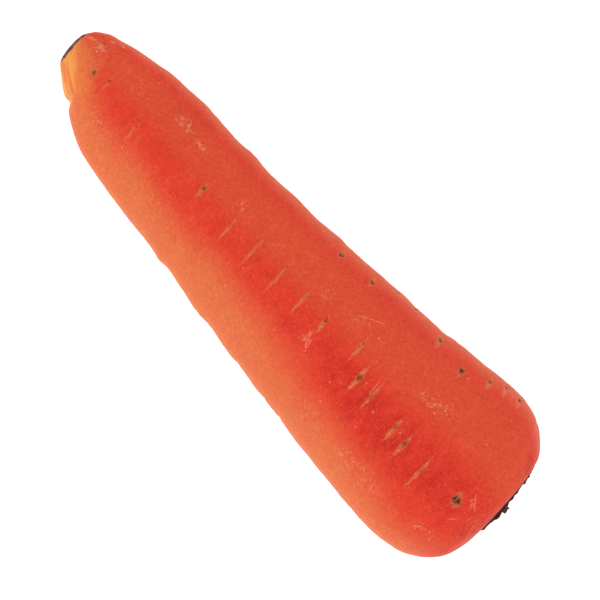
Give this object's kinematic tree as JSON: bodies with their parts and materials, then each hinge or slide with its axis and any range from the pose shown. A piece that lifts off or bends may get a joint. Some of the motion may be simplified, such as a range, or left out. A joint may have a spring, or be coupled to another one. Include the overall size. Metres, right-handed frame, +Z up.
{
  "type": "carrot",
  "caption": "Fresh topped carrot root lying on its side, with a blunt cut tip, a smooth tapering body, a rounded shoulder and dry leaf-stalk stubs on the crown.",
  "frame": {"origin": "centre of the bounding box's base, on the surface that the carrot lies on", "axes": "+X along the root from the cut tip to the crown, +Y to the side that the leaf scar leans to, +Z up"},
  "size_m": [0.165, 0.0524, 0.0497],
  "materials": {
    "skin": "satin",
    "dried_stalk": "matte"
  },
  "bodies": {
    "root": {"root": "skin", "leaf_stalk_outer_1": "dried_stalk", "leaf_stalk_outer_2": "dried_stalk", "leaf_stalk_outer_3": "dried_stalk", "leaf_stalk_outer_4": "dried_stalk", "leaf_stalk_outer_5": "dried_stalk", "leaf_stalk_middle_1": "dried_stalk", "leaf_stalk_middle_2": "dried_stalk", "leaf_stalk_middle_3": "dried_stalk", "leaf_stalk_middle_4": "dried_stalk", "leaf_stalk_inner_1": "dried_stalk", "leaf_stalk_inner_2": "dried_stalk", "leaf_stalk_inner_3": "dried_stalk", "leaf_bud": "dried_stalk"}
  },
  "joints": []
}
